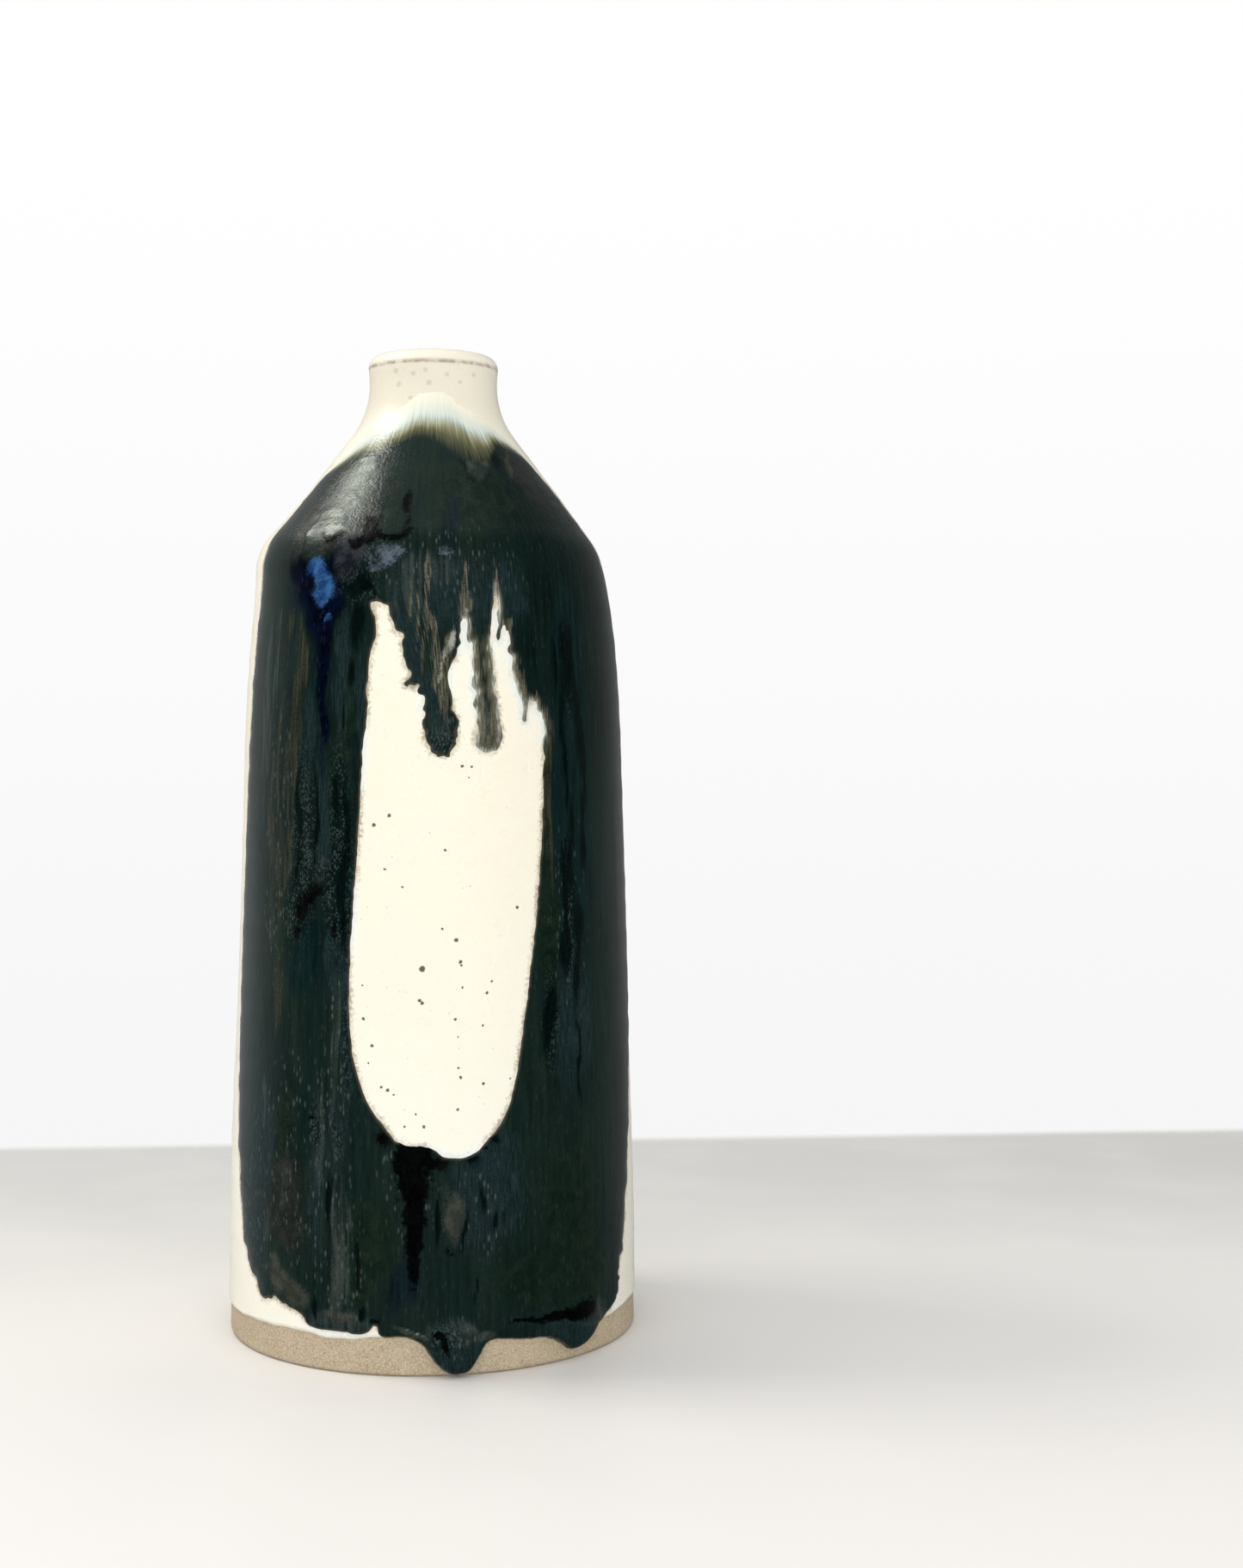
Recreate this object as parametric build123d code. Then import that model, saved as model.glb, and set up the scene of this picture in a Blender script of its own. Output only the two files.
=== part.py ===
from build123d import *
import os
from math import cos, radians, sin, tan

# Stoneware bottle vase: one thrown and fired clay body under three fired-on coats of glaze.
# Millimetres, +Z up. The origin is on the wheel's axis, on the surface that the foot stands on.
# The front, which carries the poured dark glaze, faces -Y. A lean is the angle in degrees that
# the profile leans inwards from upright.

# Outside of the clay, from the foot up
FOOT_RADIUS = 50.0
FOOT_CHAMFER = 0.8
WALL_LEAN = 1.75
WALL_HEIGHT = 143.0
SWELL_RADIUS = 410.0
SWELL_LEAN = 7.5
SHOULDER_RADIUS = 18.5
SHOULDER_LEAN = 37.3
NECK_RADIUS = 15.1
NECK_CURVE = 22.0
NECK_FLARE = 5.0
COLLAR_HEIGHT = 1.7
LIP_RADIUS = 2.6

# Inside, measured on the liner's surface
WALL_THICKNESS = 4.8
FLOOR_HEIGHT = 9.0
FLOOR_ROUND = 7.0
THROAT_CURVE = 8.0
BORE_RADIUS = 11.8
MOUTH_ROUND = 0.8

# Underside, trimmed to a shallow foot ring
RING_RADIUS = 38.0
RECESS_RADIUS = 35.0
RECESS_DEPTH = 2.0

# Coats of glaze
COAT = 0.5
DARK_COAT = 0.8
BARE_BAND = 8.5
LINER_TOP = 230.0
DRIP_CLEARANCE = 0.4

# The dark glaze in front view, as (x, z). Its lower edge, from left to right, with two drips.
LOWER_EDGE = [
    (-46.5, 31), (-43.6, 20.5), (-41, 15.5), (-38.8, 13.8), (-35.5, 14.6), (-31, 12.6),
    (-28.6, 10), (-21, 9.5), (-13.8, 9.6), (-7, 9), (-3.5, 7.3), (-0.8, 3.8), (2.4, 1.2),
    (5.6, 0.5), (8.6, 1.9), (10.6, 5.2), (13.4, 7.5), (20, 7.2), (25.5, 6.5), (29.5, 4),
    (32.8, 2.4), (35.6, 3.7), (39.5, 6.4), (42.8, 10), (44.2, 18), (46.5, 31),
]
# Its upper edge, from right to left over the shoulder
UPPER_EDGE = [
    (40, 196), (29, 205.5), (22.5, 212), (16, 217), (10, 219.3), (3, 223.2), (-3, 222),
    (-10.8, 216), (-19, 211), (-29, 205), (-40, 196),
]
# The side edges as (y, z), from the foot to the shoulder
LEFT_EDGE = [
    (-30, 13.8), (-24.6, 20), (-21.2, 27), (-17.6, 41), (-14.4, 60), (-12.2, 85), (-12.4, 110),
    (-14.4, 145), (-14.8, 178), (-13.4, 193), (-10.4, 204), (-15, 210), (-21, 214.5),
]
RIGHT_EDGE = [
    (-28.8, 8.2), (-25, 11), (-22.4, 20.5), (-19.2, 31), (-13.6, 50), (-7.4, 70), (-2.6, 95),
    (-1.6, 120), (-2.8, 150), (-6.4, 178), (-10.2, 196), (-9.8, 206), (-13, 214.5), (-17, 218),
]
# The opening where the cream glaze shows, from its lowest point clockwise, with two runs
WINDOW = [
    (5.5, 49.7), (0, 51.4), (-8, 53), (-13.4, 60), (-17.6, 67.5), (-19.3, 85), (-18.6, 108),
    (-17.2, 125), (-16.2, 141), (-15.1, 157), (-13.6, 168), (-14, 175.4), (-10.6, 175.2),
    (-8.8, 169), (-6.6, 163), (-3.4, 156), (-1.8, 149), (-0.9, 143.4), (2.4, 141.2),
    (4.5, 144.4), (3.6, 152), (3.3, 159), (5.6, 165.5), (6.9, 172), (8.2, 167), (9.3, 157),
    (9.8, 145.5), (12, 141.8), (14.7, 145), (14, 155), (13.5, 167), (14.3, 178), (15.6, 171.5),
    (17.2, 170), (18.3, 163.5), (20.6, 155), (22.6, 153), (25, 150.5), (25, 138), (23.8, 112),
    (21.3, 90), (18.7, 70), (15.8, 58.5), (10.6, 51.7),
]
# The beads that gather at the drips' tips: (x, height of the centre, radius, how far it is proud)
BEADS = [(5.4, 5.7, 7.0, 2.1), (32.7, 6.5, 6.0, 1.5)]

# Cutting solids reach well past the vase, and each side cut keeps off the middle of the front
CUT_REACH = 70.0
SIDE_CUT_START = 15.0


def shoulder_chain(wall, grow, neck_radius, neck_curve, flare):
    """Swell, shoulder, cone and neck edges, each tangent to the last, above the wall's edge."""
    swell = JernArc(wall @ 1, wall % 1, SWELL_RADIUS + grow, SWELL_LEAN - WALL_LEAN)
    shoulder = JernArc(swell @ 1, swell % 1, SHOULDER_RADIUS + grow, SHOULDER_LEAN - SWELL_LEAN)
    neck_start = neck_radius + neck_curve * (1 - cos(radians(SHOULDER_LEAN)))
    cone_length = ((shoulder @ 1).X - neck_start) / sin(radians(SHOULDER_LEAN))
    cone = Line(shoulder @ 1, shoulder @ 1 + (shoulder % 1) * cone_length)
    neck = JernArc(cone @ 1, cone % 1, neck_curve, -(SHOULDER_LEAN + flare))
    return [swell, shoulder, cone, neck]


def wall_point(height, grow):
    """The point of the straight wall's line at a height, with the wall thickened by grow."""
    lean = radians(WALL_LEAN)
    return FOOT_RADIUS + grow / cos(lean) - height * tan(lean), height


def wall_end(grow):
    """Where the straight wall ends and the swell starts."""
    lean = radians(WALL_LEAN)
    radius, height = wall_point(WALL_HEIGHT, 0)
    return radius + grow * cos(lean), height + grow * sin(lean)


def filled(grow):
    """Half section of all that the outer surface holds, thickened by grow."""
    wall = Line(wall_point(0, grow), wall_end(grow))
    chain = shoulder_chain(wall, grow, NECK_RADIUS + grow, NECK_CURVE - grow, NECK_FLARE)
    neck = chain[-1]
    collar = Line(neck @ 1, neck @ 1 + (neck % 1) * COLLAR_HEIGHT)
    lip = JernArc(collar @ 1, collar % 1, LIP_RADIUS + grow, 90 + NECK_FLARE)
    top = (0, (lip @ 1).Y)
    closing = [Line(lip @ 1, top), Line(top, (0, 0)), Line((0, 0), wall @ 0)]
    return make_face([wall, *chain, collar, lip, *closing])


def hollow(grow):
    """Half section of the space inside, with its walls pushed out by grow."""
    turn = 90 + WALL_LEAN
    floor = FLOOR_HEIGHT - grow
    corner, _ = wall_point(floor, grow - WALL_THICKNESS)
    round_radius = FLOOR_ROUND + grow
    floor_edge = (corner - round_radius * tan(radians(turn / 2)), floor)
    floor_round = JernArc(floor_edge, (1, 0), round_radius, turn)
    wall = Line(floor_round @ 1, wall_end(grow - WALL_THICKNESS))
    inset = grow - WALL_THICKNESS
    chain = shoulder_chain(wall, inset, BORE_RADIUS + grow, THROAT_CURVE - grow, 0)
    throat = chain[-1]
    bore = Line(throat @ 1, ((throat @ 1).X, MOUTH_HEIGHT - MOUTH_ROUND))
    mouth = JernArc(bore @ 1, (0, 1), MOUTH_ROUND - grow, -90)
    top = (0, (mouth @ 1).Y)
    closing = [Line(mouth @ 1, top), Line(top, (0, floor)), Line((0, floor), floor_edge)]
    return make_face([floor_round, wall, *chain, bore, mouth, *closing])


def below(height):
    """Half section of everything under a height."""
    return Pos(CUT_REACH / 2, (height - CUT_REACH) / 2) * Rectangle(CUT_REACH, height + CUT_REACH)


def turned(section):
    """The solid that a half section makes when it turns about the wheel's axis."""
    return revolve(Plane.XZ * section, axis=Axis.Z)


def foot_cut():
    """Half section of what is trimmed from the underside: the recess and the foot's chamfer."""
    recess = Polygon(
        (0, 0), (RING_RADIUS, 0), (RECESS_RADIUS, RECESS_DEPTH), (0, RECESS_DEPTH), align=None,
    )
    edge = Polygon(
        (FOOT_RADIUS - FOOT_CHAMFER, 0), (FOOT_RADIUS + 1, 0), (FOOT_RADIUS + 1, FOOT_CHAMFER),
        (FOOT_RADIUS, FOOT_CHAMFER), align=None,
    )
    return recess + edge


def dark_sheet(shell):
    """The dark sheet of glaze: the shell's front, trimmed to its edges, with the window cut out."""
    right_side = Polyline(
        LOWER_EDGE[-1], (CUT_REACH, LOWER_EDGE[-1][1]), (CUT_REACH, UPPER_EDGE[0][1]), UPPER_EDGE[0],
    )
    left_side = Polyline(
        UPPER_EDGE[-1], (-CUT_REACH, UPPER_EDGE[-1][1]), (-CUT_REACH, LOWER_EDGE[0][1]), LOWER_EDGE[0],
    )
    front = make_face([Spline(*LOWER_EDGE), right_side, Spline(*UPPER_EDGE), left_side])
    front -= make_face(Spline(*WINDOW, periodic=True))
    kept = shell & extrude(Plane.XZ * front, amount=CUT_REACH)
    kept -= Pos(-SIDE_CUT_START - CUT_REACH, 0, 0) * side_cut(LEFT_EDGE)
    kept -= Pos(SIDE_CUT_START, 0, 0) * side_cut(RIGHT_EDGE)
    return kept


def side_cut(edge):
    """A slab, as thick as the reach, of everything behind a side edge of the dark glaze."""
    (low_y, _), (high_y, high_z) = edge[0], edge[-1]
    top = high_z + CUT_REACH
    back = Polyline(
        edge[-1], (high_y, top), (CUT_REACH, top), (CUT_REACH, -CUT_REACH), (low_y, -CUT_REACH),
        edge[0],
    )
    return extrude(Plane.YZ * make_face([Spline(*edge), back]), amount=CUT_REACH)


def bead(x, height, radius, proud):
    """A ball sunk in the wall at the front, so that only its outer cap stands proud."""
    surface_radius = wall_point(height, 0)[0]
    sunk = surface_radius + proud - radius
    y = -(surface_radius ** 2 - x ** 2) ** 0.5
    return Pos(x * sunk / surface_radius, y * sunk / surface_radius, height) * Sphere(radius)


MOUTH_HEIGHT = filled(COAT).bounding_box().max.Y

clay_section = filled(0) - hollow(COAT) - foot_cut()
liner_section = (hollow(COAT) - hollow(0)) & below(LINER_TOP)
cream_section = filled(COAT) - hollow(0) - clay_section - liner_section - below(BARE_BAND)
dark_section = filled(COAT + DARK_COAT) - filled(0) - cream_section

clay = turned(clay_section)
cream = turned(cream_section)
liner = turned(liner_section)
shell = turned(dark_section)
dark = dark_sheet(shell)
core = turned(filled(0) + below(DRIP_CLEARANCE))
for sizes in BEADS:
    dark += bead(*sizes) - core - cream

os.makedirs("parts", exist_ok=True)
NODES = {"stoneware_body": clay, "liner_glaze": liner, "cream_glaze": cream, "dark_glaze": dark}
for name, solid in NODES.items():
    export_step(solid, f"parts/{name}.step")
    box = solid.bounding_box()
    print(name, "volume", round(solid.volume), "solids", len(solid.solids()), "height", round(box.max.Z, 3))
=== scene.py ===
import bpy
import math
import numpy as np
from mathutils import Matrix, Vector
from mathutils.kdtree import KDTree


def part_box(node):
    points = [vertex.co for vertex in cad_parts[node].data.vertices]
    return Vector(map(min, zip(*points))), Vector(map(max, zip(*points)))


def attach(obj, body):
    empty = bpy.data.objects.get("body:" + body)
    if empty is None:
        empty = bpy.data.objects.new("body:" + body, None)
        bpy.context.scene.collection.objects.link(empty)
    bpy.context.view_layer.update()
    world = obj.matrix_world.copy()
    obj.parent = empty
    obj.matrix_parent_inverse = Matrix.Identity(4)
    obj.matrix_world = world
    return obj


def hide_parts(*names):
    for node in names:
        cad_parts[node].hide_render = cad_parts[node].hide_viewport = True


# Stoneware bottle vase. The clay body and its three coats of glaze are turned on one section path,
# so that every coat lies on the one below it. Lengths are in millimetres here and become metres
# when a mesh is made. An angle round the vase is in degrees from the front (-Y), positive towards +X.
# A lean is the angle that a surface leans inwards from upright, and lift is height off the cream.

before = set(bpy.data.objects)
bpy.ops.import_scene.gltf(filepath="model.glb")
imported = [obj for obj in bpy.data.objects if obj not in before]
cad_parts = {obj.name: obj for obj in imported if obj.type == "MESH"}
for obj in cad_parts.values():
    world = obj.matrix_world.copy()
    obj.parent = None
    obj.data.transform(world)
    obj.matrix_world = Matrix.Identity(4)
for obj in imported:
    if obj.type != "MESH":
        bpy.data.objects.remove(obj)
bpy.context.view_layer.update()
MM = 0.001

# ---------------------------------------------------------------- camera

camera_data = bpy.data.cameras.new("camera")
camera_data.lens = 50.5
camera_data.sensor_width = 36.0
camera = bpy.data.objects.new("camera", camera_data)
bpy.context.scene.collection.objects.link(camera)
camera.location = (0.0, -0.5462, 0.1486)
camera.rotation_euler = (math.pi / 2 - 0.0285, -0.001, -0.0850)
bpy.context.scene.camera = camera
bpy.context.scene.view_settings.view_transform = "Standard"

# ---------------------------------------------------------------- section of the vase

CLAY_TO_CREAM = 0.5
FOOT_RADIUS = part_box("stoneware_body")[1].x / MM + CLAY_TO_CREAM
WALL_LEAN = 1.75
WALL_HEIGHT = 143.0
SWELL_LEAN = 7.5
SWELL_RADIUS = 410.5
SHOULDER_LEAN = 37.3
SHOULDER_RADIUS = 19.0
NECK_RADIUS = 15.6
NECK_CURVE = 21.5
NECK_FLARE = 5.0
COLLAR_HEIGHT = 1.7
LIP_RADIUS = 3.1
MOUTH_ROUND = 0.8
BORE_RADIUS = 11.8
THROAT_CURVE = 8.0
WALL_THROUGH = 5.3
FLOOR_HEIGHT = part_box("liner_glaze")[0].z / MM + CLAY_TO_CREAM
FLOOR_ROUND = 7.0
LINER_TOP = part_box("liner_glaze")[1].z / MM
PATH_STEP = 0.05
COLLAR_START = 232.0
FLOW_RADIUS = 47.0


def section_path():
    """The glazed surface in section, from the outside of the foot over the lip to the floor's middle.

    Returns its lengths, radii, heights and leans. The surface faces (cos lean, sin lean)."""
    def cos(lean):
        return math.cos(math.radians(lean))

    def sin(lean):
        return math.sin(math.radians(lean))

    radius, height, lean = [FOOT_RADIUS], [0.0], [WALL_LEAN]

    def line(length):
        start = (radius[-1], height[-1])
        count = max(2, int(length / PATH_STEP))
        for t in np.linspace(0, length, count)[1:]:
            radius.append(start[0] - t * sin(lean[-1]))
            height.append(start[1] + t * cos(lean[-1]))
            lean.append(lean[-1])

    def arc(curve, end):
        start = (radius[-1], height[-1])
        first = lean[-1]
        side = 1 if end > first else -1
        count = max(8, int(curve * abs(math.radians(end - first)) / PATH_STEP))
        for t in np.linspace(first, end, count)[1:]:
            radius.append(start[0] + side * curve * (cos(t) - cos(first)))
            height.append(start[1] + side * curve * (sin(t) - sin(first)))
            lean.append(t)

    neck_start = NECK_RADIUS + NECK_CURVE * (1 - cos(SHOULDER_LEAN))
    line(WALL_HEIGHT / cos(WALL_LEAN))
    arc(SWELL_RADIUS, SWELL_LEAN)
    arc(SHOULDER_RADIUS, SHOULDER_LEAN)
    shoulder = (radius[-1], height[-1])
    line((shoulder[0] - neck_start) / sin(SHOULDER_LEAN))
    arc(NECK_CURVE, -NECK_FLARE)
    line(COLLAR_HEIGHT)
    arc(LIP_RADIUS, 90)
    line(radius[-1] - BORE_RADIUS - MOUTH_ROUND)
    arc(MOUTH_ROUND, 180)
    inner_radius = shoulder[0] - WALL_THROUGH * cos(SHOULDER_LEAN)
    inner_height = shoulder[1] - WALL_THROUGH * sin(SHOULDER_LEAN)
    cone = (inner_radius - BORE_RADIUS - THROAT_CURVE * (1 - cos(SHOULDER_LEAN))) / sin(SHOULDER_LEAN)
    throat_top = inner_height + cone * cos(SHOULDER_LEAN) + THROAT_CURVE * sin(SHOULDER_LEAN)
    line(height[-1] - throat_top)
    arc(THROAT_CURVE, 180 + SHOULDER_LEAN)
    line(cone)
    arc(SHOULDER_RADIUS - WALL_THROUGH, 180 + SWELL_LEAN)
    arc(SWELL_RADIUS - WALL_THROUGH, 180 + WALL_LEAN)
    line((height[-1] - FLOOR_HEIGHT - FLOOR_ROUND * (1 + sin(WALL_LEAN))) / cos(WALL_LEAN))
    arc(FLOOR_ROUND, 90)
    line(radius[-1])
    radius, height, lean = np.array(radius), np.array(height), np.array(lean)
    steps = np.hypot(np.diff(radius), np.diff(height))
    return np.concatenate([[0], np.cumsum(steps)]), radius, height, np.radians(lean)


LENGTH, RADIUS, HEIGHT, LEAN = section_path()
TOP_INDEX = int(np.argmax(HEIGHT))
LENGTH_AT_TOP = LENGTH[TOP_INDEX]
LENGTH_AT_AXIS = LENGTH[-1]
BORE_END = TOP_INDEX + int(np.argmax(HEIGHT[TOP_INDEX:] < LINER_TOP))
LENGTH_AT_LINER = LENGTH[BORE_END]


def outside_length(height):
    """How far along the path the outside reaches a height."""
    return np.interp(height, HEIGHT[:TOP_INDEX], LENGTH[:TOP_INDEX])


def outside_radius(height):
    return np.interp(height, HEIGHT[:TOP_INDEX], RADIUS[:TOP_INDEX])


def hash_noise(points, size, seed=0):
    """Smooth noise from 0 to 1 in cells of a size, the same on every run."""
    cell = np.floor(points / size).astype(np.int64)
    part = points / size - cell
    part = part * part * (3 - 2 * part)
    total = 0.0
    for corner in np.ndindex(2, 2, 2):
        key = (cell + corner) @ np.array([374761393, 668265263, 1274126177]) + seed * 974634777
        key = (key ^ (key >> 13)) * 1103515245 & 0xFFFFFFFF
        key = (key ^ (key >> 15)) * 2654435761 & 0xFFFFFFFF
        value = (key ^ (key >> 16)) / 0xFFFFFFFF
        weight = 1.0
        for axis in range(3):
            weight = weight * (part[..., axis] if corner[axis] else 1 - part[..., axis])
        total = total + value * weight
    return total


def smooth(value, low, high):
    """0 below low, 1 above high, and a smooth step between."""
    t = np.clip((value - low) / (high - low), 0, 1)
    return t * t * (3 - 2 * t)


def bell(value, centre, width):
    return np.exp(-((value - centre) / width) ** 2)


def wobble(theta, height):
    """How far the hand-thrown wall stands off a true round, in millimetres."""
    left = np.maximum(0, np.cos(np.radians(theta + 85))) ** 2
    right = np.maximum(0, np.cos(np.radians(theta - 85))) ** 2
    off = left * (1.2 * bell(height, 191, 8) + 0.6 * bell(height, 45, 30))
    off -= right * (0.5 * bell(height, 187, 9) + 0.4 * bell(height, 8, 14) + 0.25 * bell(height, 130, 60))
    off += 0.12 * np.sin(np.radians(2 * theta + 40)) * bell(height, 110, 80)
    rings = np.sin(2 * np.pi * height / 7.3 + np.radians(theta)) + 0.6 * np.sin(2 * np.pi * height / 11.9 + 1)
    return off + 0.035 * rings * smooth(height, 12, 30) * (1 - smooth(height, 222, 230))


def to_metres(theta, radius, height):
    """Points in metres from angles, radii and heights in degrees and millimetres."""
    angle = np.radians(theta)
    radius = radius + wobble(theta, height) * np.minimum(1, radius / 10)
    return np.stack([radius * np.sin(angle), -radius * np.cos(angle), height + 0 * angle], -1) * MM


def path_rows(lengths, lift):
    """Radii and heights at lengths along the path, at a lift off it."""
    lean = np.interp(lengths, LENGTH, LEAN)
    radius = np.interp(lengths, LENGTH, RADIUS) + lift * np.cos(lean)
    return radius, np.interp(lengths, LENGTH, HEIGHT) + lift * np.sin(lean)


def on_path(theta, length, lift):
    """Points in metres at a length along the section path, lifted off the surface."""
    radius, height = path_rows(length, lift)
    return to_metres(theta, np.maximum(radius, 0), height)


# ---------------------------------------------------------------- outlines of the glazes, as (angle, height)

GLAZE_LINE = [
    (-180, 8.3), (-150, 8.9), (-120, 8.0), (-100, 7.6), (-80, 7.2), (-60, 7.7), (-45, 8.4), (-37, 8.3),
    (-30, 7.8), (-22, 8.1), (-16, 8.7), (-9, 9.0), (0, 9.5), (30, 9.0), (50, 7.0), (62, 7.4), (75, 7.9),
    (95, 8.6), (120, 8.0), (150, 8.8), (180, 8.3),
]
# The dark glaze's upper fringe: (angle, its top, where it turns olive, where it turns dark)
FRINGE = [
    (-70, 207, 206.3, 205.6), (-64, 210, 208.6, 207.4), (-57, 213, 210, 208), (-50, 216.4, 212, 209.8),
    (-43, 219, 213.6, 211.2), (-36, 221, 214, 211.4), (-29, 223, 215, 212.4), (-22, 225, 216.2, 213.4),
    (-15, 226.4, 218.4, 215), (-8, 227, 219.2, 216), (0, 227.4, 218.8, 215.2), (7, 227.2, 218.8, 213.4),
    (13, 226.6, 218.8, 211.4), (19, 225, 217.8, 210), (25, 223.4, 216, 209.8), (30, 223, 215, 210.4),
    (34, 222.6, 214.8, 212), (39, 221.4, 216.2, 214.2), (45, 220.2, 215.8, 213.8),
    (51, 218.4, 214.8, 212.8), (57, 216.6, 213.6, 212), (63, 213.6, 211.8, 210.6),
    (68, 209.6, 208.6, 207.8),
]
DARK_OUTLINE = [
    (-74.5, 80), (-75, 95), (-74.6, 110), (-74, 122), (-73, 137), (-71.8, 150), (-71, 165), (-70.2, 180),
    (-69.5, 190), (-70.5, 197), (-71.5, 203), *[place[:2] for place in FRINGE], (71, 205.4), (73, 200),
    (74.5, 194), (77.5, 188), (80, 181), (82.5, 170), (84.5, 155), (86, 135), (86.5, 115), (85.5, 98),
    (83.5, 84), (81, 72), (78.5, 64), (76.5, 57), (75, 50), (73, 47), (71.8, 41), (70, 36), (68.3, 32),
    (67.5, 28), (65.8, 23.5), (65, 21), (63, 20), (62, 16.5), (61.3, 13), (60, 11), (57.5, 9.2), (54, 8.2),
    (51, 6.8), (48.5, 5.4), (46, 3.9), (43.5, 2.8), (40.5, 2.3), (38, 2.8), (36, 4.1), (33, 5.6), (30, 6.5),
    (25, 6.8), (20, 7.4), (16, 7.7), (13.6, 7), (12, 4.8), (10.3, 2.4), (8.4, 0.9), (6.2, 0.45), (4, 0.6),
    (2, 1.6), (0.2, 3), (-1.4, 5), (-3.2, 7.1), (-5.5, 8.4), (-9, 9.1), (-12.6, 8.8), (-14.4, 9.4),
    (-15.4, 11.6), (-16.4, 11.2), (-17.6, 10), (-20.5, 9.3), (-24, 9.6), (-29, 9.6), (-33, 9.7),
    (-35.6, 10.4), (-37, 12), (-40, 13), (-43.5, 13.7), (-47, 14.7), (-50, 14.1), (-53, 13.7),
    (-55.2, 15.6), (-56.2, 17.6), (-59, 19), (-61, 21), (-62.3, 23.6), (-64.8, 26), (-65.5, 31),
    (-67.5, 36), (-68.5, 41), (-70.3, 47), (-71.4, 54), (-73, 64),
]
WINDOW = [
    (6.5, 49.5), (2.5, 49.9), (0.5, 51.2), (-2.5, 52.3), (-5.5, 52.3), (-8.5, 52.8), (-11, 54),
    (-13.2, 56.4), (-16, 59.4), (-18.8, 63), (-21, 67.5), (-22.5, 72.5), (-23.5, 80), (-23.8, 88),
    (-23.6, 97), (-23, 105), (-22.3, 114), (-21.6, 123), (-21.1, 131), (-20.7, 138), (-20.3, 144),
    (-19.6, 148), (-19.3, 152), (-19.4, 156.5), (-19.2, 160), (-18.6, 164), (-17.2, 168), (-17.6, 172),
    (-18.8, 175.4), (-17.8, 176), (-17.1, 177.1), (-16.7, 175.8), (-14, 175.4), (-12.9, 174.8),
    (-12.7, 172.4), (-11.7, 170.6), (-11.4, 169.1), (-9.2, 168.4), (-9.3, 166), (-8.6, 164), (-8.5, 162),
    (-7.4, 160.4), (-6.7, 159.3), (-7.3, 158.1), (-8.5, 157.3), (-7.8, 156.3), (-6.3, 157), (-5.6, 156.2),
    (-4.6, 156.8), (-4.2, 154.9), (-3, 154.5), (-2.8, 152.5), (-3.9, 151.4), (-2.8, 150.5), (-2.8, 148.2),
    (-2.4, 146.6), (-2.8, 145), (-2, 143.4), (-0.8, 141.8), (1.6, 140.8), (4, 140.9), (5.8, 142.6),
    (6.8, 144.8), (6.2, 146.8), (6.6, 148.8), (5.4, 151), (5, 154), (4.1, 157.6), (4.2, 160), (5.6, 162),
    (7.2, 164.2), (7.7, 167), (8, 169.6), (8.3, 172), (9.3, 171.6), (9.5, 168.4), (10.1, 165.6),
    (10.8, 166.4), (11.3, 162.6), (11.6, 159), (10.9, 156.4), (12, 154.6), (11.3, 151.8), (12.3, 149.6),
    (12.2, 147), (11.4, 145), (12.2, 142.8), (15, 141.4), (17.8, 142.2), (19.4, 144.6), (19.4, 146.6),
    (18.6, 149), (18.3, 152.4), (17.5, 155.4), (17.9, 158.2), (16.9, 161), (17.2, 163.6), (16.3, 166.4),
    (17, 168.4), (17.3, 171), (18.1, 174.4), (18.6, 178.6), (19, 180), (19.3, 176.4), (19.5, 172.6),
    (18.9, 170), (18.5, 167.8), (19.6, 166.6), (20.4, 169.4), (21.2, 171), (22, 169.4), (22.6, 171.4),
    (22.8, 167.4), (22.5, 164.6), (23.4, 162.6), (22.9, 160.2), (24, 158), (24.3, 155.8), (25.4, 154),
    (26.2, 151.6), (26, 149), (27.3, 148.2), (28, 150.4), (28.8, 153), (29.6, 151.7), (30.6, 152.6),
    (31.4, 150.6), (32.5, 150.8), (33.4, 148), (33.3, 143), (33, 136), (32.5, 129), (31.8, 121), (31, 114),
    (30.1, 107), (29.3, 101), (28.1, 95), (27, 89), (25.8, 82.6), (24.6, 76.5), (23.4, 71), (22.3, 66),
    (20.8, 61.8), (18.4, 57.6), (15.2, 54), (12, 51.4), (9.4, 50),
]


def rounded(points, between=6):
    """A closed curve that runs smoothly through the points, as an array of closer points."""
    points = np.array(points, float)
    before, after, beyond = np.roll(points, 1, 0), np.roll(points, -1, 0), np.roll(points, -2, 0)
    t = np.linspace(0, 1, between, endpoint=False)[None, :, None]
    p0, p1, p2, p3 = (p[:, None, :] for p in (before, points, after, beyond))
    curve = 0.5 * (2 * p1 + (p2 - p0) * t + (2 * p0 - 5 * p1 + 4 * p2 - p3) * t**2
                   + (3 * p1 - p0 - 3 * p2 + p3) * t**3)
    return curve.reshape(-1, 2)


def distance_inside(theta, height, outline):
    """Distance to an outline on the vase in millimetres, positive inside it."""
    curve = rounded(outline, 30)
    tree = KDTree(len(curve))
    for index, point in enumerate(to_metres(curve[:, 0], outside_radius(curve[:, 1]), curve[:, 1])):
        tree.insert(point, index)
    tree.balance()
    points = to_metres(theta, outside_radius(height), height).reshape(-1, 3)
    near = np.array([tree.find(point)[2] for point in points]).reshape(theta.shape) / MM
    ends = rounded(outline, 5)
    crossings = np.zeros(theta.shape, int)
    for (start_theta, start_height), (end_theta, end_height) in zip(np.roll(ends, 1, 0), ends):
        if start_height != end_height:
            spans = (start_height > height) != (end_height > height)
            share = (height - start_height) / (end_height - start_height)
            crossings += spans & (start_theta + share * (end_theta - start_theta) > theta)
    return np.where(crossings % 2 == 1, near, -near)


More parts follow.
